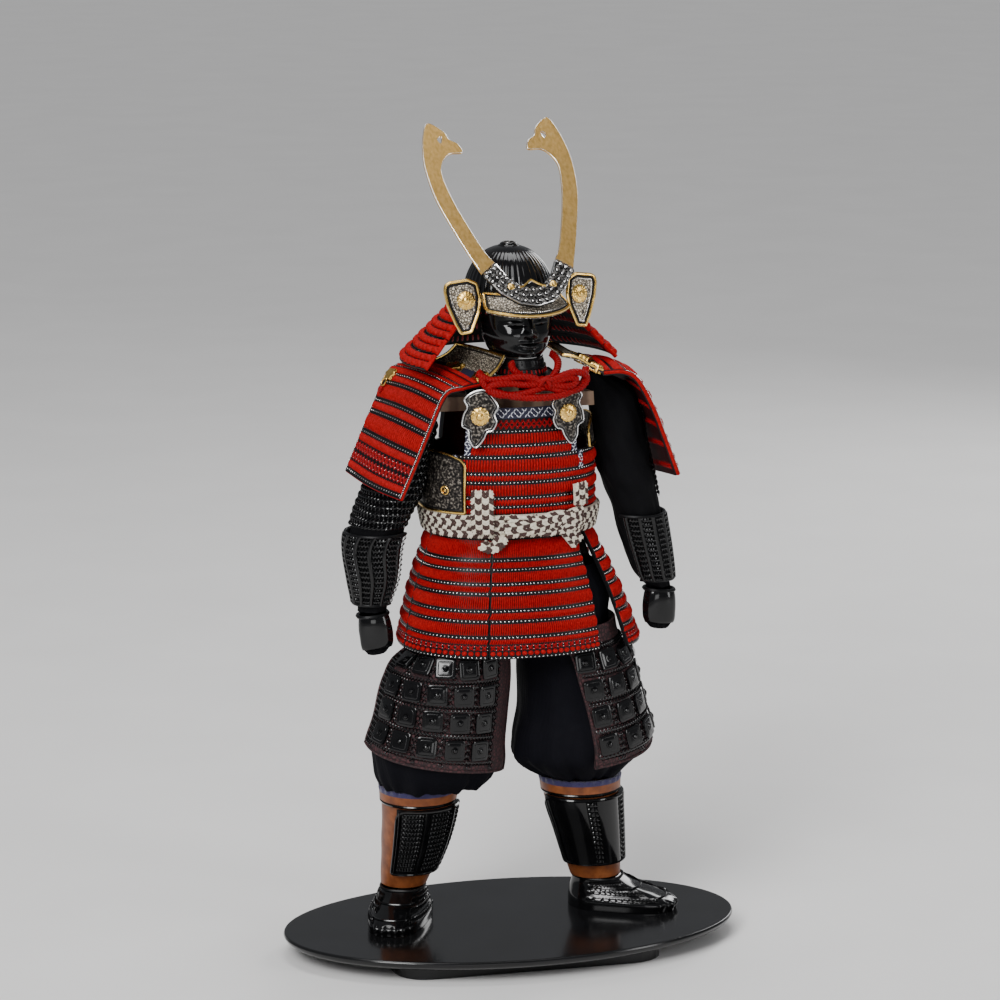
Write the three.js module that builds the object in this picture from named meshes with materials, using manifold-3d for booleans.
// Samurai armour on its display stand, a third of life size. Millimetres, +Z up, the front faces -Y.
// The origin is the centre of the underside of the lacquered base. The wearer's right is -X.
// Laced lames, cloth and leather are thin walls through sections; plates are extruded outlines.
import * as THREE from 'three';
import { mergeVertices } from 'three/addons/utils/BufferGeometryUtils.js';
import Module from 'manifold-3d';

const wasm = await Module();
wasm.setup();

// ---------------------------------------------------------------- driving dimensions

const SEAM = 0.35;                      // clearance between pieces that meet
const LAME = 3.2;                       // laced lames: lacquered scales and their cords
const LEATHER = 2;
const CLOTH = 1.6;
const PLATE = 2.4;

const BASE = { halfLength: 183, halfDepth: 105, height: 9 };
const BASE_EDGE = [[1.4, 9], [0.2, 8], [0, 6.6], [2.2, 3.4], [7.5, 0.8], [12, 0]];   // inset and rise
const UNDERFOOT = { halfLength: 108, halfDepth: 80, corner: 30, height: 9 };
const GROUND = UNDERFOOT.height + BASE.height;

const SUIT = { x: 2, y: 14 };           // axis of the trunk on the base
const HELMET = { turn: 8, rim: 516, crown: 559.5, halfWidth: 34.4, halfDepth: 38.5, wall: 2 };
const CREST = { y: -50, z: 529.4, lean: 37, tilt: -0.45, plate: 2.6, horn: 1.8 };

const WAIST = { bottom: 337, top: 402, chestTop: 439, backTop: 449 };
const BELT = { bottom: 337.5, top: 355.5, thickness: 3.4 };
const SKIRT = { top: WAIST.bottom - SEAM, hem: 246 };
const BOARD = { halfLength: 69, halfDepth: 9, bottom: 431.5, top: 442.5 };

// ---------------------------------------------------------------- tools for walls and outlines

const rad = THREE.MathUtils.degToRad;
const lerp = THREE.MathUtils.lerp;
const v3 = (x, y, z) => new THREE.Vector3(x, y, z);

// Values of a table of sections between two rows, smoothly, at a given height.
function sectionAt(table, z) {
  const rows = [...table].sort((p, q) => p.z - q.z);
  const last = rows.length - 1;
  const k = Math.max(0, Math.min(last - 1, rows.findIndex((row, i) => i < last && z <= rows[i + 1].z)));
  const t = THREE.MathUtils.clamp((z - rows[k].z) / (rows[k + 1].z - rows[k].z), 0, 1);
  const before = rows[Math.max(0, k - 1)];
  const after = rows[Math.min(last, k + 2)];
  const blend = (key) => {
    const spline = new THREE.CatmullRomCurve3([before, rows[k], rows[k + 1], after]
      .map((row) => v3(row[key] ?? 0, row.z, 0)), false, 'centripetal');
    const smooth = spline.getPoint((1 + t) / 3).x;
    const straight = lerp(rows[k][key] ?? 0, rows[k + 1][key] ?? 0, t);
    return lerp(straight, smooth, 0.5);
  };
  return { x: blend('x'), y: blend('y'), a: blend('a'), b: blend('b'), turn: blend('turn'), z };
}

// A point of an oval section; angle 0 is the front and 90 the wearer's left. square > 2 fills the corners.
function ovalPoint(section, angle, square = 2, out = 0) {
  const s = Math.sin(rad(angle));
  const c = Math.cos(rad(angle));
  const px = (section.a + out) * Math.sign(s) * Math.abs(s) ** (2 / square);
  const py = -(section.b + out) * Math.sign(c) * Math.abs(c) ** (2 / square);
  const turn = rad(section.turn ?? 0);
  return v3(
    section.x + px * Math.cos(turn) - py * Math.sin(turn),
    section.y + px * Math.sin(turn) + py * Math.cos(turn),
    section.z,
  );
}

function closedGeometry(points, triangles) {
  const flat = points.flatMap((p) => [p.x, p.y, p.z]);
  let volume = 0;
  for (const [a, b, c] of triangles) {
    volume += points[a].dot(new THREE.Vector3().crossVectors(points[b], points[c]));
  }
  const index = volume < 0 ? triangles.flatMap(([a, b, c]) => [a, c, b]) : triangles.flat();
  const geometry = new THREE.BufferGeometry();
  geometry.setAttribute('position', new THREE.Float32BufferAttribute(flat, 3));
  geometry.setIndex(index);
  geometry.computeVertexNormals();
  return geometry;
}

// A wall of even thickness behind a grid of outer points, rows[j][i]. around: each row is a closed ring.
// inward(p) gives the side on which the thickness lies.
function wall(rows, thickness, inward, around = false) {
  const count = rows[0].length;
  const points = rows.flat();
  const inner = [];
  const at = (j, i) => rows[THREE.MathUtils.clamp(j, 0, rows.length - 1)][
    around ? (i + count) % count : THREE.MathUtils.clamp(i, 0, count - 1)];
  rows.forEach((row, j) => row.forEach((p, i) => {
    const across = at(j, i + 1).clone().sub(at(j, i - 1));
    const down = at(j + 1, i).clone().sub(at(j - 1, i));
    const normal = across.cross(down).normalize();
    if (normal.dot(inward(p)) < 0) normal.negate();
    inner.push(p.clone().addScaledVector(normal, thickness));
  }));
  const shift = points.length;
  const all = [...points, ...inner];
  const triangles = [];
  const quad = (a, b, c, d) => triangles.push([a, b, c], [a, c, d]);
  const columns = around ? count : count - 1;
  for (let j = 0; j < rows.length - 1; j += 1) {
    for (let i = 0; i < columns; i += 1) {
      const next = (i + 1) % count;
      const [a, b, c, d] = [j * count + i, j * count + next, (j + 1) * count + next, (j + 1) * count + i];
      quad(a, b, c, d);
      quad(d + shift, c + shift, b + shift, a + shift);
    }
  }
  const rim = (a, b) => quad(b, a, a + shift, b + shift);
  const foot = (rows.length - 1) * count;
  for (let i = 0; i < columns; i += 1) {
    rim(i, (i + 1) % count);
    rim(foot + (i + 1) % count, foot + i);
  }
  if (!around) {
    for (let j = 0; j < rows.length - 1; j += 1) {
      rim((j + 1) * count, j * count);
      rim(j * count + count - 1, (j + 1) * count + count - 1);
    }
  }
  return closedGeometry(all, triangles);
}

// A solid through closed rings of points, from the top one down, shut by a flat fan at each end.
function stack(rings) {
  const count = rings[0].length;
  const middle = (ring) => ring.reduce((sum, p) => sum.add(p), v3(0, 0, 0)).divideScalar(count);
  const points = [...rings.flat(), middle(rings[0]), middle(rings[rings.length - 1])];
  const [topCentre, footCentre] = [points.length - 2, points.length - 1];
  const foot = (rings.length - 1) * count;
  const triangles = [];
  for (let i = 0; i < count; i += 1) {
    const next = (i + 1) % count;
    for (let j = 0; j < rings.length - 1; j += 1) {
      const [a, b, c, d] = [j * count + i, j * count + next, (j + 1) * count + next, (j + 1) * count + i];
      triangles.push([a, b, c], [a, c, d]);
    }
    triangles.push([topCentre, next, i], [footCentre, foot + i, foot + next]);
  }
  return closedGeometry(points, triangles);
}

// A cup from its outer rings and its inner ones, each listed from the mouth down to the closed end.
const cup = (outer, inner) => stack([...[...outer].reverse(), ...inner]);

const steps = (from, to, count) => Array.from({ length: count + 1 }, (_, i) => lerp(from, to, i / count));
const towards = (x, y, z = null) => (p) => v3(x - p.x, y - p.y, z === null ? 0 : z - p.z);

// A tube or part tube through a table of sections, with a row at each level, between two angles.
function sectionWall(table, options) {
  const { levels, from = 0, to = 360, sides, thickness, out = 0, square = 2 } = options;
  const around = Math.abs(to - from) === 360;
  const angles = steps(from, to, sides).slice(0, around ? sides : sides + 1);
  const rows = levels.map((z) => {
    const section = sectionAt(table, z);
    return angles.map((angle) => ovalPoint(section, angle, square, out));
  });
  const inward = (p) => {
    const section = sectionAt(table, p.z);
    return v3(section.x - p.x, section.y - p.y, 0);
  };
  return wall(rows, thickness, inward, around);
}

function extruded(shape, depth, { bevel = 0, curveSegments = 6 } = {}) {
  const geometry = new THREE.ExtrudeGeometry(shape, {
    depth: depth - 2 * bevel,
    bevelEnabled: bevel > 0,
    bevelThickness: bevel,
    bevelSize: bevel,
    bevelOffset: -bevel,
    bevelSegments: 1,
    curveSegments,
  });
  geometry.translate(0, 0, bevel);
  return geometry;
}

const outline = (pairs) => new THREE.Shape(pairs.map(([x, y]) => new THREE.Vector2(x, y)));

function smoothOutline(pairs, count) {
  const curve = new THREE.SplineCurve([...pairs, pairs[0]].map(([x, y]) => new THREE.Vector2(x, y)));
  return new THREE.Shape(curve.getPoints(count).slice(0, -1));
}

function ellipseShape(a, b, count) {
  return new THREE.Shape(new THREE.EllipseCurve(0, 0, a, b).getPoints(count).slice(0, -1));
}

function tube(points, radius, stepCount, sides = 8) {
  const section = ellipseShape(radius, radius, sides);
  const path = new THREE.CatmullRomCurve3(points.map(([x, y, z]) => v3(x, y, z)));
  return new THREE.ExtrudeGeometry(section, { steps: stepCount, extrudePath: path, curveSegments: 1 });
}

function toSolid(geometry) {
  const plain = geometry.clone();
  plain.deleteAttribute('normal');
  plain.deleteAttribute('uv');
  const merged = mergeVertices(plain, 1e-4);
  return new wasm.Manifold(new wasm.Mesh({
    numProp: 3,
    vertProperties: merged.attributes.position.array,
    triVerts: new Uint32Array(merged.index.array),
  }));
}

function fromSolid(solid) {
  const mesh = solid.getMesh();
  const geometry = new THREE.BufferGeometry();
  geometry.setAttribute('position', new THREE.BufferAttribute(new Float32Array(mesh.vertProperties), 3));
  geometry.setIndex(new THREE.BufferAttribute(new Uint32Array(mesh.triVerts), 1));
  geometry.computeVertexNormals();
  return geometry;
}

const joined = (...pieces) => fromSolid(pieces.map(toSolid).reduce((sum, piece) => sum.add(piece)));

// ---------------------------------------------------------------- finishes

const finish = (color, roughness, metalness) => () => (
  new THREE.MeshStandardMaterial({ color, roughness, metalness }));
const LACQUER = finish('#0b0b0d', 0.18, 0);
const LACED = finish('#b0201f', 0.6, 0);
const GOLD = finish('#cfa04a', 0.3, 1);
const SILVER = finish('#8d8c86', 0.35, 1);
const PEWTER = finish('#6b6558', 0.5, 0.3);
const CORD = finish('#b3122a', 0.55, 0);
const BRAID = finish('#d8d0be', 0.75, 0);
const BLACK_CLOTH = finish('#14141a', 0.9, 0);
const MAIL = finish('#121214', 0.35, 0.6);
const BROCADE = finish('#3a1d20', 0.85, 0);
const BROWN_LEATHER = finish('#8a4f22', 0.45, 0);
const WOOD = finish('#c6a584', 0.6, 0);

function piece(parent, name, geometry, material) {
  const mesh = new THREE.Mesh(geometry, material());
  mesh.name = name;
  parent.add(mesh);
  return mesh;
}

function group(parent, x = 0, y = 0, z = 0, turn = 0) {
  const made = new THREE.Group();
  made.position.set(x, y, z);
  made.rotation.z = rad(turn);
  parent.add(made);
  return made;
}

const SIDES = [{ side: 'right', s: -1 }, { side: 'left', s: 1 }];

// ---------------------------------------------------------------- stand

function makeStand(armour) {
  const levels = BASE_EDGE.map(([inset, rise]) => steps(0, 360, 52).slice(0, -1).map((angle) => ovalPoint(
    { x: 0, y: 0, a: BASE.halfLength, b: BASE.halfDepth, z: UNDERFOOT.height + rise }, angle, 2, -inset)));
  piece(armour, 'base_board', stack(levels), LACQUER);

  const { halfLength: l, halfDepth: d, corner: r } = UNDERFOOT;
  const foot = new THREE.Shape();
  foot.moveTo(-l + r, -d);
  foot.lineTo(l - r, -d);
  foot.quadraticCurveTo(l, -d, l, -d + r);
  foot.lineTo(l, d - r);
  foot.quadraticCurveTo(l, d, l - r, d);
  foot.lineTo(-l + r, d);
  foot.quadraticCurveTo(-l, d, -l, d - r);
  foot.lineTo(-l, -d + r);
  foot.quadraticCurveTo(-l, -d, -l + r, -d);
  piece(armour, 'base_foot', extruded(foot, UNDERFOOT.height - 0.1, { curveSegments: 6 }), LACQUER);

  const box = (w, depth, h, x, y, z) => new THREE.BoxGeometry(w, depth, h).translate(x, y, z + h / 2);
  const hip = 318;
  const postTop = 541;
  const leg = (points) => tube(points, 5.5, 14);
  const frame = joined(
    box(2 * BOARD.halfLength, 2 * BOARD.halfDepth, BOARD.top - BOARD.bottom, SUIT.x, SUIT.y, BOARD.bottom),
    box(13, 13, postTop - hip, SUIT.x, SUIT.y, hip),
    box(92, 16, 11, SUIT.x, SUIT.y, hip),
    box(34, 34, 4, SUIT.x, SUIT.y, postTop - 4),
    leg([[-79, 36, GROUND + SEAM], [-78.5, 35.7, 40], [-62, 27, 130], [-40, 16, 250], [-33, 14, 322]]),
    leg([[77, 24, GROUND + SEAM], [76.5, 23.8, 40], [64, 20, 130], [46, 16, 250], [38, 14, 322]]),
  );
  piece(armour, 'stand_frame', frame, WOOD);
}

// ---------------------------------------------------------------- legs

const TROUSER_RIGHT = [
  { z: 308, x: -33, y: 13, a: 29, b: 34 },
  { z: 262, x: -38, y: 10, a: 32.5, b: 40 },
  { z: 247, x: -40, y: 9, a: 33.6, b: 41.5 },
  { z: 236, x: -46.5, y: 8, a: 41, b: 44 },
  { z: 222, x: -50, y: 8, a: 45, b: 45 },
  { z: 190, x: -56, y: 6, a: 48, b: 45 },
  { z: 167, x: -61, y: 4, a: 50.5, b: 45 },
  { z: 150, x: -60, y: 4, a: 49.5, b: 43 },
  { z: 139, x: -60, y: 6, a: 47, b: 39 },
  { z: 131, x: -61.5, y: 8, a: 41, b: 34 },
];
const TROUSER_LEFT = [
  { z: 308, x: 37, y: 15, a: 29, b: 34 },
  { z: 262, x: 43, y: 14, a: 33, b: 40 },
  { z: 247, x: 46.5, y: 13, a: 37, b: 42 },
  { z: 236, x: 51, y: 12, a: 43, b: 44 },
  { z: 222, x: 53, y: 11, a: 45, b: 45 },
  { z: 190, x: 57, y: 8, a: 49, b: 45 },
  { z: 165, x: 57, y: 5, a: 54.5, b: 46 },
  { z: 149, x: 55.5, y: 6, a: 51.5, b: 42 },
  { z: 139, x: 57, y: 10, a: 42, b: 35 },
  { z: 131, x: 60, y: 13, a: 31, b: 28 },
];
const SHIN_RIGHT = [
  { z: 131, x: -71.5, y: 13, a: 30, b: 29 },
  { z: 118, x: -71.5, y: 15, a: 29, b: 28 },
  { z: 82, x: -73, y: 27, a: 25.5, b: 25 },
  { z: 44, x: -79, y: 36, a: 18.5, b: 19 },
];
const SHIN_LEFT = [
  { z: 131, x: 61, y: 14, a: 31.5, b: 29 },
  { z: 118, x: 62, y: 15, a: 30.5, b: 28 },
  { z: 84, x: 69, y: 20, a: 26, b: 25 },
  { z: 44, x: 77, y: 24, a: 20.5, b: 19.5 },
];

// One row a level of the foot cover: how far it reaches to the toes and the heel, and its half width.
const FOOT_LEVELS = [
  { z: 43.4, toe: 20, heel: 19, half: 17.5 },
  { z: 38, toe: 31, heel: 20, half: 18.5 },
  { z: 32, toe: 50, heel: 21.5, half: 21 },
  { z: 26, toe: 67, heel: 22.5, half: 24 },
  { z: GROUND + SEAM, toe: 67, heel: 22.5, half: 24 },
];

function footCover() {
  const count = 18;
  const rows = FOOT_LEVELS.map(({ z, toe, heel, half }) => Array.from({ length: count }, (_, i) => {
    const angle = (i / count) * 2 * Math.PI;
    const c = Math.cos(angle);
    const sideways = Math.sign(Math.sin(angle)) * Math.abs(Math.sin(angle)) ** (c > 0 ? 0.7 : 1);
    const narrow = 1 - 0.2 * Math.max(0, -c);
    return v3(half * narrow * sideways, c > 0 ? -toe * c ** 0.75 : -heel * c, z);
  }));
  return wall(rows, LEATHER, towards(0, -8), true);
}

// Pieces that lie on one another share their levels and their facets, so that they stay evenly apart.
const FACET = 18;
const APRON_LEVELS = [262, 247, 235, 218, 190, 168, 154];
const SPLINT_LEVELS = [116, 86, 57];

// An apron tied over the thigh: its hem slopes, and topTurn carries its tied edge round the leg.
function apronWall(trouser, { from, to, topTurn, hemFrom, hemTo }) {
  const columns = 10;
  const top = APRON_LEVELS[0];
  const foot = APRON_LEVELS.at(-1);
  const rows = APRON_LEVELS.map((level) => steps(0, 1, columns).map((u) => {
    const t = (level - foot) / (top - foot);
    const z = lerp(lerp(hemFrom, hemTo, u), top, t);
    return ovalPoint(sectionAt(trouser, z), lerp(from, to, u) + topTurn * t, 2, PLATE + 2.2);
  }));
  return wall(rows, PLATE, (p) => {
    const section = sectionAt(trouser, p.z);
    return v3(section.x - p.x, section.y - p.y, 0);
  });
}

const LEGS = [
  {
    side: 'right',
    trouser: TROUSER_RIGHT,
    shin: SHIN_RIGHT,
    apron: { from: -92, to: 78, topTurn: 0, hemFrom: 170, hemTo: 144 },
    splint: { from: -45, to: 100 },
    foot: { x: -79, y: 36, turn: -23 },
  },
  {
    side: 'left',
    trouser: TROUSER_LEFT,
    shin: SHIN_LEFT,
    apron: { from: 3, to: 134, topTurn: -19, hemFrom: 149, hemTo: 167 },
    splint: { from: -54, to: 126 },
    foot: { x: 77, y: 24, turn: 60 },
  },
];
const KNEE_BAND = { top: 130.6, bottom: 120.4, out: 1.5 };
const SHIN_TOP = 120;
const ANKLE = 44;

function makeLegs(armour) {
  for (const { side, trouser, shin, apron, splint, foot } of LEGS) {
    piece(armour, `trouser_leg_${side}`, sectionWall(trouser, {
      levels: [308, ...APRON_LEVELS, 143, 131], sides: 360 / FACET, thickness: CLOTH,
    }), BLACK_CLOTH);
    piece(armour, `thigh_apron_${side}`, apronWall(trouser, apron), BROCADE);
    piece(armour, `knee_band_${side}`, sectionWall(shin, {
      levels: [KNEE_BAND.top, KNEE_BAND.bottom],
      sides: 360 / FACET,
      thickness: LEATHER,
      out: KNEE_BAND.out,
    }), BROWN_LEATHER);
    piece(armour, `shin_leather_${side}`, sectionWall(shin, {
      levels: [SHIN_TOP, ...SPLINT_LEVELS, ANKLE], sides: 360 / FACET, thickness: LEATHER,
    }), BROWN_LEATHER);
    piece(armour, `shin_splint_${side}`, sectionWall(shin, {
      levels: SPLINT_LEVELS, ...splint, sides: 9, thickness: PLATE, out: PLATE + 0.9,
    }), LACQUER);
    const placed = group(armour, foot.x, foot.y, 0, foot.turn);
    piece(placed, `foot_cover_${side}`, footCover(), LACQUER);
  }
}

// ---------------------------------------------------------------- trunk

const TRUNK = [
  { z: 337, a: 64, b: 46 },
  { z: 352, a: 67, b: 48 },
  { z: 375, a: 68, b: 48.5 },
  { z: 402, a: 67, b: 48 },
  { z: 425, a: 64, b: 46.5 },
  { z: 452, a: 59, b: 43 },
];
const TRUNK_SQUARE = 2.25;
const WAIST_LEVELS = [WAIST.top, 380, BELT.top, BELT.bottom, WAIST.bottom];

function trunkWall(options) {
  return sectionWall(TRUNK, { square: TRUNK_SQUARE, thickness: LAME, ...options });
}

// A plate that lies on the trunk: an outline of angle and height pairs, thick outwards from a given offset.
function trunkPlate(from, to, bottom, top, round, out, thickness) {
  const columns = 10;
  const rows = steps(1, 0, 6).map((t) => steps(from, to, columns).map((angle, i) => {
    const edge = Math.abs(i / columns - 0.5) * 2;
    const crown = top - round * edge ** 2.6;
    const z = lerp(bottom, crown, t);
    return ovalPoint(sectionAt(TRUNK, z), angle, TRUNK_SQUARE, out + thickness);
  }));
  return wall(rows, thickness, towards(0, 0));
}

// The hanging plates over the chest cords: a scalloped outline, wider at the head.
const FLAP = [
  [-7, 22], [2, 24], [9, 18], [13, 12], [11, 6], [13.5, 0], [11, -7], [7, -9], [5, -15], [0, -22],
  [-6, -17], [-8, -9], [-13, -6], [-13, 3], [-11, 9], [-14, 15],
];

const FLAP_BOSS = [[0, -1], [7.2, -1], [7.2, 0.8], [5.4, 2.4], [2, 3.2], [0, 3.2]];     // radius, height
const FLAP_PLACE = {
  right: { at: [-35.5, -50.4, 432], turn: [3, 7, -13] },
  left: { at: [34, -50.4, 432], turn: [3, -7, 13] },
};
// Shoulder straps, from the chest over the shoulder to the back: depth and height of the outer face.
const STRAP = [
  [-44.5, 440], [-45, 447], [-38, 452], [-22, 454], [0, 454.5], [22, 454], [38, 454], [44, 450.5],
];
const STRAP_ACROSS = [28, 35.5, 43];

function turnedBoss(profile, sides) {
  const boss = new THREE.LatheGeometry(profile.map(([x, y]) => new THREE.Vector2(x, y)), sides);
  boss.rotateX(rad(180));
  return boss;
}

function makeTrunk(suit) {
  piece(suit, 'cuirass_front', joined(
    trunkWall({ levels: WAIST_LEVELS, from: -50, to: 80, sides: 10 }),
    trunkWall({ levels: [WAIST.chestTop, 420, WAIST.top - 1.5], from: -39, to: 39, sides: 6 }),
  ), LACED);
  piece(suit, 'cuirass_back', joined(
    trunkWall({ levels: WAIST_LEVELS, from: 82.5, to: 261, sides: 14 }),
    trunkWall({ levels: [WAIST.backTop, 425, WAIST.top - 1.5], from: 138, to: 222, sides: 6 }),
  ), LACED);
  piece(suit, 'side_plate_right', trunkPlate(-101, -37, 357, 404, 7, 0.5, PLATE), PEWTER);
  piece(suit, 'side_plate_left', trunkPlate(57, 118, 402.4, 425, 9, -1.5, PLATE), PEWTER);

  for (const { side, s } of SIDES) {
    const flap = extruded(smoothOutline(FLAP.map(([x, y]) => [x * -s, y]), 32), PLATE, { bevel: 0.5 });
    flap.rotateX(rad(90));
    const boss = turnedBoss(FLAP_BOSS, 12).translate(0, -PLATE, 3);
    const mesh = piece(suit, `chest_flap_${side}`, joined(flap, boss), SILVER);
    mesh.position.set(...FLAP_PLACE[side].at);
    mesh.rotation.set(...FLAP_PLACE[side].turn.map(rad));

    const curve = new THREE.CatmullRomCurve3(STRAP.map(([y, z]) => v3(0, y, z)));
    const rows = curve.getPoints(14).map((p) => STRAP_ACROSS.map((x) => v3(s * x, p.y, p.z)));
    piece(suit, `shoulder_strap_${side}`, wall(rows, LEATHER, towards(s * 35, 0, 410)), BROCADE);
  }
}

function makeBelt(suit) {
  piece(suit, 'belt_band', trunkWall({
    levels: [BELT.top, BELT.bottom], sides: 36, thickness: BELT.thickness, out: BELT.thickness + 0.8,
  }), BRAID);
  // Straps and loops of the bow lie on the band: angle across, height, half width of the strap.
  const strap = (route, half, out) => {
    const rows = route.map(([angle, z], k) => {
      const before = route[Math.max(0, k - 1)];
      const after = route[Math.min(route.length - 1, k + 1)];
      const along = new THREE.Vector2(after[0] - before[0], after[1] - before[1]).normalize();
      return [-1, 0, 1].map((side) => {
        const place = [angle - side * half * along.y, z + side * half * along.x];
        return ovalPoint(sectionAt(TRUNK, place[1]), place[0], TRUNK_SQUARE, out);
      });
    });
    return wall(rows, BELT.thickness, towards(0, 0));
  };
  const over = 2 * BELT.thickness + 1.2;
  piece(suit, 'belt_knot', joined(
    strap([[-8, 351], [4, 349], [12, 344], [20, 347], [30, 352], [38, 353]], 6, over),
    strap([[-10, 344], [0, 346], [10, 350], [20, 352], [32, 346], [38, 343]], 6, over + 1),
    strap([[21, 349], [29, 339], [36, 330]], 6, over + 0.5),
  ), BRAID);
  const loops = {
    right: strap([[-24, 342], [-24, 352], [-24, 363], [-24, 376]], 6.8, over),
    left: strap([[36.5, 360.6], [36.3, 366], [36, 371], [35.5, 377.5]], 5.6, over),
    low: strap([[-12.5, 339], [-15, 333], [-20, 330.5], [-25, 333.5]], 4, over),
  };
  for (const [name, loop] of Object.entries(loops)) piece(suit, `belt_loop_${name}`, loop, BRAID);
}

const SKIRT_TOP = { x: 0, y: 0, a: 64, b: 46 };
const SKIRT_PANELS = [
  { name: 'skirt_front', from: -18.3, to: 41, out: 0, drop: 0 },
  { name: 'skirt_right_front', from: -80, to: -19.4, out: 0, drop: 0 },
  { name: 'skirt_right_side', from: -135, to: -82, out: 0, drop: 0 },
  { name: 'skirt_back', from: -192, to: -137, out: 0, drop: 0 },
  { name: 'skirt_left_back', from: 112, to: 166, out: 6, drop: 0 },
  { name: 'skirt_left_side', from: 54, to: 107, out: 17, drop: 2 },
];
const SKIRT_SPREAD = { a: 24, b: 23 };

function skirtPoint(panel, t, angle) {
  const swell = Math.sin(t * Math.PI) * 3;
  return ovalPoint({
    x: 0, y: 0, z: lerp(SKIRT.top, SKIRT.hem - panel.drop, t), turn: 0,
    a: SKIRT_TOP.a + SKIRT_SPREAD.a * t + swell + panel.out * t,
    b: SKIRT_TOP.b + SKIRT_SPREAD.b * t + swell,
  }, angle, TRUNK_SQUARE);
}

function makeSkirt(suit) {
  for (const panel of SKIRT_PANELS) {
    const rows = steps(0, 1, 4).map((t) => steps(panel.from, panel.to, 7)
      .map((angle) => skirtPoint(panel, t, angle)));
    piece(suit, panel.name, wall(rows, LAME, towards(0, 0)), LACED);
  }
}

// ---------------------------------------------------------------- shoulders and arms

// Front and back edge of each shoulder guard, one row a station from the crown plate down.
const SHOULDER = {
  right: [
    { front: [-34, -45.5, 459.6], back: [-63, 24, 465] },
    { front: [-46, -46.5, 457.6], back: [-80, 24, 465.6] },
    { front: [-62, -48, 453], back: [-92, 24, 459] },
    { front: [-74, -48.5, 428], back: [-103, 23, 436] },
    { front: [-86, -48.5, 399], back: [-115, 22, 409] },
    { front: [-97.5, -48, 372], back: [-126.5, 20, 383] },
  ],
  left: [
    { front: [66, -41, 464], back: [66, 32, 464] },
    { front: [82, -41.5, 464], back: [82, 33, 461] },
    { front: [94, -42, 457], back: [94, 34, 452] },
    { front: [107, -42, 434], back: [106, 34, 428] },
    { front: [117, -42, 409], back: [116, 34, 401] },
    { front: [128, -42, 380], back: [126.5, 34, 371] },
  ],
};
const CROWN = {
  right: [
    { front: [-13.5, -40, 478.5], back: [-37, 18, 480] },
    { front: [-19, -42, 470.5], back: [-44, 20, 472.5] },
    { front: [-26, -43.5, 464.6], back: [-53, 22, 467.6] },
    { front: [-33.2, -45, 460.4], back: [-62, 24, 465.6] },
  ],
  left: [
    { front: [33.5, -38, 477.5], back: [33.5, 26, 477.5] },
    { front: [45, -39.5, 475], back: [45, 28, 475] },
    { front: [56, -40.5, 468.5], back: [56, 30, 468.5] },
    { front: [65.2, -41, 464.6], back: [65.2, 32, 464.6] },
  ],
};

// A curved plate between the front and back edges of each station, bulging out between them.
function edgePlate(stations, bulge, thickness, inward, across = 7) {
  const rows = stations.map(({ front, back }) => steps(0, 1, across).map((t) => {
    const p = v3(...front).lerp(v3(...back), t);
    return p.addScaledVector(inward(p).normalize(), -bulge * Math.sin(t * Math.PI));
  }));
  return wall(rows, thickness, inward);
}

const SLEEVE = {
  right: [
    { z: 430, x: -78.5, y: 5, a: 9.5, b: 15, turn: 18 },
    { z: 424, x: -80, y: 4, a: 13.5, b: 19, turn: 18 },
    { z: 404, x: -88.5, y: 2, a: 15, b: 25, turn: 23 },
    { z: 372, x: -95, y: 1, a: 19, b: 27, turn: 23 },
    { z: 348, x: -104, y: -2, a: 21.5, b: 24, turn: 15 },
    { z: 337, x: -107, y: -3, a: 22, b: 22, turn: 0 },
    { z: 300, x: -110, y: -8, a: 17, b: 17, turn: 0 },
    { z: 284, x: -112, y: -10, a: 12.5, b: 12.5, turn: 0 },
    { z: 277, x: -112.5, y: -10, a: 12, b: 12, turn: 0 },
  ],
  left: [
    { z: 430, x: 86, y: 0, a: 10.5, b: 14 },
    { z: 424, x: 88, y: 0, a: 14, b: 20 },
    { z: 404, x: 91.5, y: 0, a: 17, b: 24 },
    { z: 372, x: 98, y: -2, a: 20, b: 26 },
    { z: 352, x: 102, y: -2, a: 20, b: 23 },
    { z: 340, x: 104.5, y: -3, a: 19.5, b: 21 },
    { z: 306, x: 112, y: -8, a: 16.5, b: 16 },
    { z: 292, x: 115.5, y: -10, a: 14, b: 13 },
    { z: 284, x: 120, y: -10, a: 10, b: 11 },
  ],
};
const SLEEVE_TOP = 430;
// The forearm guard hangs from guardTop, between two angles of the arm; the glove leans by some degrees.
const ARMS = [
  {
    side: 'right',
    s: -1,
    cuff: 277,
    guardTop: 339,
    guard: { from: -198, to: 54 },
    glove: [-112, -11, 275],
    lean: -6,
  },
  {
    side: 'left',
    s: 1,
    cuff: 284,
    guardTop: 344,
    guard: { from: -54, to: 198 },
    glove: [120.5, -11, 282.3],
    lean: 4,
  },
];

// One row a level of the glove, down from the wrist: half width across and half depth.
const GLOVE_LEVELS = [
  { drop: 0, x: 0, half: 11.5, depth: 10 },
  { drop: 8, x: 0, half: 13, depth: 9.5 },
  { drop: 18, x: 0, half: 13.5, depth: 8.5 },
  { drop: 27, x: 0.5, half: 12, depth: 7.5 },
  { drop: 32, x: 1, half: 8, depth: 6 },
];

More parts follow.
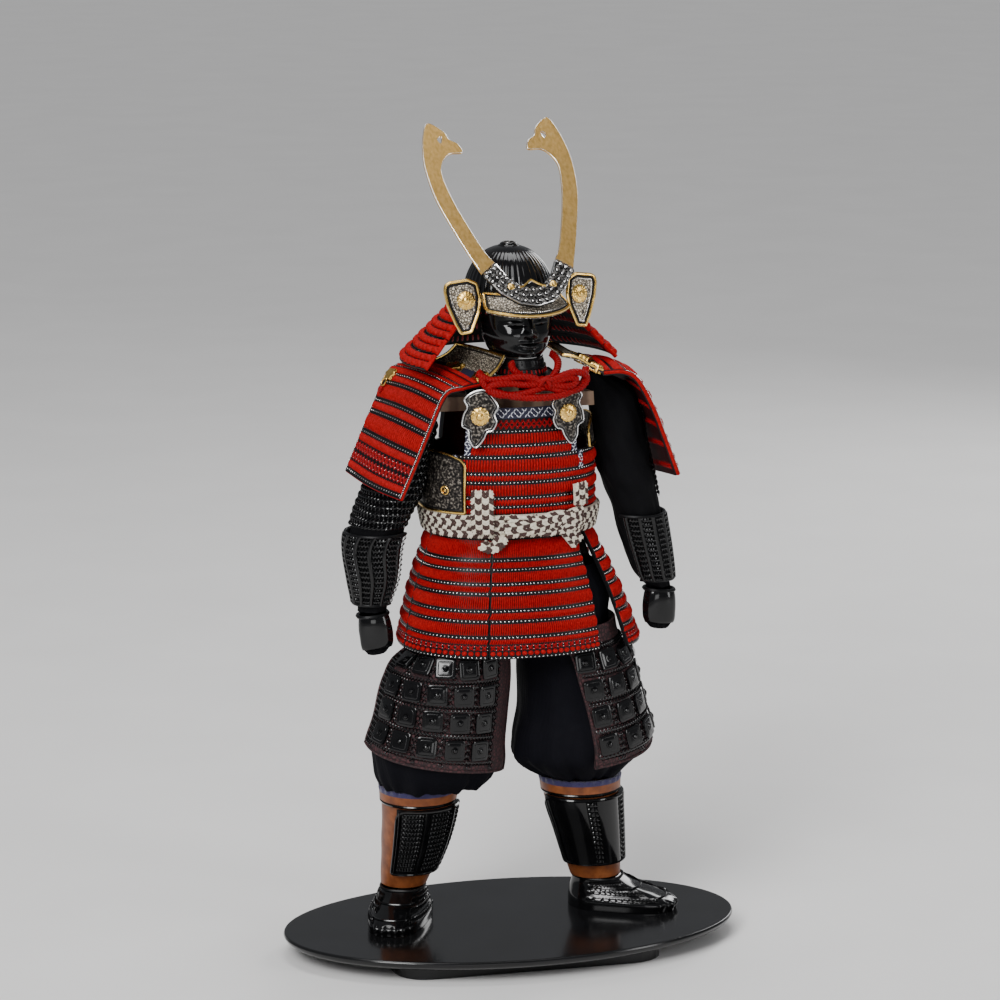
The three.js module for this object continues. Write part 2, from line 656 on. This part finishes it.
function makeArms(suit) {
  for (const { side, s, cuff, guardTop, guard, glove, lean } of ARMS) {
    const guardLevels = steps(guardTop, cuff + 6, 3);
    const inward = (p) => v3(s * 60 - p.x, -6 - p.y, 395 - p.z);
    piece(suit, `shoulder_guard_${side}`, edgePlate(SHOULDER[side], 3, LAME + 0.8, inward), LACED);
    const below = (p) => v3(s * 75 - p.x, -8 - p.y, 425 - p.z);
    piece(suit, `shoulder_crown_${side}`, edgePlate(CROWN[side], 1, LEATHER, below, 5), PEWTER);
    piece(suit, `sleeve_${side}`, sectionWall(SLEEVE[side], {
      levels: [SLEEVE_TOP, 419, 398, 368, ...guardLevels, cuff], sides: 360 / FACET, thickness: CLOTH,
    }), BLACK_CLOTH);
    piece(suit, `forearm_guard_${side}`, sectionWall(SLEEVE[side], {
      levels: guardLevels,
      ...guard,
      sides: (guard.to - guard.from) / FACET,
      thickness: PLATE,
      out: PLATE + 0.7,
    }), MAIL);

    const ring = ({ drop, x, half, depth }, inset) => {
      const floor = drop === GLOVE_LEVELS.at(-1).drop ? inset : 0;
      const section = { x: x * s, y: -drop * 0.12, z: floor - drop, a: half, b: depth };
      return steps(0, 360, 14).slice(0, -1).map((angle) => ovalPoint(section, angle, 2.4, -inset));
    };
    const outer = GLOVE_LEVELS.map((level) => ring(level, 0));
    const inner = GLOVE_LEVELS.map((level) => ring(level, CLOTH));
    const hand = piece(suit, `hand_guard_${side}`, cup(outer, inner), LACQUER);
    hand.position.set(...glove);
    hand.rotation.y = rad(lean);
  }
}

// ---------------------------------------------------------------- helmet, crest and mask

// The peak runs out and down from the bowl: its edge, how far it rises at the corners, its half angle.
const PEAK = { root: 526, edge: 511.5, rise: 5, reach: 59, halfWidth: 41, half: 58 };

function makeBowl(helmet) {
  const { rim, crown, wall: thick } = HELMET;
  const arc = (radius, height, from, to) => steps(from, to, 6).map((angle) => new THREE.Vector2(
    Math.cos(rad(angle)) ** 0.9 * radius,
    rim + Math.sin(rad(angle)) ** 0.94 * height,
  ));
  const inner = arc(1 - thick / HELMET.halfWidth, crown - thick - rim, 90, 0);
  const outer = arc(1, crown - rim, 0, 90);
  inner[0].x = 0;
  outer[6].x = 0;
  const bowl = new THREE.LatheGeometry([...inner, ...outer], 30);
  bowl.scale(HELMET.halfWidth, 1, HELMET.halfDepth);
  bowl.rotateX(rad(90));
  const finial = new THREE.LatheGeometry([
    [0, 557], [7, 557], [7, 559.8], [5, 560.6], [4.4, 562], [0, 562.7],
  ].map(([x, y]) => new THREE.Vector2(x, y)), 12);
  finial.rotateX(rad(90));
  piece(helmet, 'helmet_bowl', joined(bowl, finial), LACQUER);

  const rows = steps(0, 1, 3).map((t) => steps(-PEAK.half, PEAK.half, 12).map((angle) => {
    const c = Math.cos(rad(angle));
    const s = Math.sin(rad(angle));
    const across = lerp(HELMET.halfWidth + 1, PEAK.halfWidth, t);
    const reach = lerp(HELMET.halfDepth + 1, PEAK.reach, t);
    const z = lerp(PEAK.root, PEAK.edge, t) + PEAK.rise * s * s * t;
    return v3(across * s, -reach * c ** lerp(1, 0.62, t), z);
  }));
  piece(helmet, 'helmet_peak', wall(rows, LEATHER, towards(0, 0, 470)), PEWTER);
}

// Outline of one horn in the plane of the crest: across from the middle, and up from its centre.
const HORN = [
  [25.2, 26.8], [31, 37], [39, 60], [46, 85], [49, 107], [45, 118], [38, 124], [27.5, 124.6],
  [29.5, 132.5], [35.8, 137], [38.7, 144], [49.9, 152.3], [56, 142], [60.2, 125], [61.4, 109],
  [59.2, 85], [52.4, 60], [44.6, 36], [37.9, 17.8],
];
const CREST_PLATE = [
  [0, 9], [9, 5], [17, 12], [24.4, 25.8], [37, 16.6], [27, 0], [14, -10], [0, -13.4],
];

function makeCrest(helmet) {
  const crest = new THREE.Group();
  crest.position.set(0, CREST.y, CREST.z);
  crest.rotation.set(rad(90 - CREST.lean), 0, rad(-CREST.tilt), 'XZY');
  helmet.add(crest);
  const mirrored = [...CREST_PLATE.slice(1, -1)].reverse().map(([x, y]) => [-x, y]);
  const plate = piece(crest, 'crest_plate', extruded(outline([...CREST_PLATE, ...mirrored]), CREST.plate,
    { bevel: 0.5 }), SILVER);
  plate.position.z = -CREST.plate / 2;
  for (const { side, s } of SIDES) {
    const curve = new THREE.SplineCurve(HORN.map(([x, y]) => new THREE.Vector2(s * x, y)));
    const shape = new THREE.Shape(curve.getPoints(36));
    const horn = piece(crest, `crest_horn_${side}`, extruded(shape, CREST.horn, { bevel: 0.4 }), GOLD);
    horn.position.z = -CREST.horn / 2;
  }
}

// Outline of the turned-back ear plate, about its boss, as seen from the front of the wearer's left side.
const TURNBACK = [
  [-10.5, 1], [-8, 11.5], [-3.5, 15], [10, 14.5], [14.8, 13], [16.4, 9], [14.6, -3], [5.4, -22],
  [1.5, -25.6], [-2, -23], [-8.5, -9],
];
const TURNBACK_BOSS = [[0, -1], [6.6, -1], [6.6, 0.8], [4.4, 2], [1.5, 3], [0, 3]];
const TURNBACK_PLACE = {
  right: { at: [-44.8, -24, 521.5], turn: -20 },
  left: { at: [48, -24, 521.5], turn: 10 },
};
const NECK_GUARD = { lames: 4, top: 513, bottom: 471, front: 70 };

function makeHelmetSides(helmet) {
  for (const { side, s } of SIDES) {
    const shape = outline(TURNBACK.map(([x, y]) => [x * s, y]));
    const plate = extruded(shape, PLATE, { bevel: 0.5 });
    plate.rotateX(rad(90));
    const boss = turnedBoss(TURNBACK_BOSS, 12).translate(0, -PLATE, 0);
    const mesh = piece(helmet, `turnback_${side}`, joined(plate, boss), PEWTER);
    mesh.position.set(...TURNBACK_PLACE[side].at);
    mesh.rotation.set(rad(-8), 0, rad(TURNBACK_PLACE[side].turn));
  }
  const { lames, top, bottom, front } = NECK_GUARD;
  for (let k = 0; k < lames; k += 1) {
    const slope = (t) => ({
      z: lerp(top, bottom, t), x: 0, y: 0, turn: 0, a: lerp(44, 84, t), b: lerp(47, 80, t),
    });
    const from = k / lames + 0.004;
    const to = (k + 1) / lames - 0.006;
    const rows = steps(from, to, 1).map((t) => steps(front, 360 - front, 20)
      .map((angle) => ovalPoint(slope(t), angle, 2, k * 0.6)));
    const inward = (p) => v3(-p.x, -p.y, 440 - p.z);
    piece(helmet, `neck_guard_${k + 1}`, wall(rows, LAME, inward), LACED);
  }
}

// The mask wraps the cheeks and chin: one row a level, its reach forward and half width.
const MASK_LEVELS = [
  { z: 509, a: 30, b: 34, nose: 3 },
  { z: 503, a: 30, b: 35, nose: 6 },
  { z: 497, a: 29.5, b: 36, nose: 8 },
  { z: 492, a: 28.5, b: 36.5, nose: 2.5 },
  { z: 487, a: 26.5, b: 37, nose: 1.5 },
  { z: 482, a: 24, b: 38.5, nose: 1 },
  { z: 477.5, a: 20, b: 38, nose: 0 },
];

function makeMask(helmet) {
  const rows = MASK_LEVELS.map(({ z, a, b, nose }) => steps(-78, 78, 14).map((angle) => {
    const p = ovalPoint({ x: 0, y: -8, z, a, b, turn: 0 }, angle, 2);
    p.y -= nose * Math.exp(-((angle / 11) ** 2));
    return p;
  }));
  piece(helmet, 'face_mask', wall(rows, LEATHER, towards(0, 0)), LACQUER);
  const throat = steps(0, 1, 2).map((t) => {
    const section = { x: 0, y: -4, z: lerp(476.8, 463, t), a: lerp(20, 25, t), b: lerp(40, 45, t) };
    return steps(-60, 60, 12).map((angle) => ovalPoint(section, angle));
  });
  piece(helmet, 'throat_guard', wall(throat, LEATHER, towards(0, 0)), LACQUER);
}

// The chin cord: two strands from the helmet to the knot, and the two loops of its bow.
const CHIN_CORD = {
  radius: 2.5,
  knot: [13, -61, 460],
  routes: [
    [[-9, -46.5, 474.5], [-9.5, -52, 470.5], [-3, -58, 465], [5, -60.5, 461.5], [13, -61, 460]],
    [[27, -30, 477.5], [28.5, -42, 474], [25.5, -52, 469], [20, -58, 464], [13, -61, 460]],
    [
      [13, -61, 460], [24, -62, 464.5], [36, -60, 467.5], [46, -56, 465], [48, -54, 459], [40, -57, 453.5],
      [26, -61, 454], [13, -61, 458],
    ],
    [
      [13, -61, 460], [0, -61, 459.5], [-14, -60, 461], [-26, -58, 460], [-30, -57, 456.5], [-23, -59, 452.5],
      [-6, -62, 452.5], [12, -61, 457],
    ],
  ],
};

function makeChinCord(suit) {
  const strands = CHIN_CORD.routes.map((route) => tube(route, CHIN_CORD.radius, 2 * route.length, 6));
  const knot = new THREE.SphereGeometry(5.4, 10, 7);
  knot.scale(1.25, 0.8, 1);
  knot.translate(...CHIN_CORD.knot);
  piece(suit, 'chin_cord', joined(knot, ...strands), CORD);
}

// ---------------------------------------------------------------- assembly

const armour = new THREE.Group();
makeStand(armour);
makeLegs(armour);
const suit = group(armour, SUIT.x, SUIT.y);
makeTrunk(suit);
makeBelt(suit);
makeSkirt(suit);
makeArms(suit);
makeChinCord(suit);
const helmet = group(suit, 0, 0, 0, HELMET.turn);
makeBowl(helmet);
makeCrest(helmet);
makeHelmetSides(helmet);
makeMask(helmet);

export default armour;
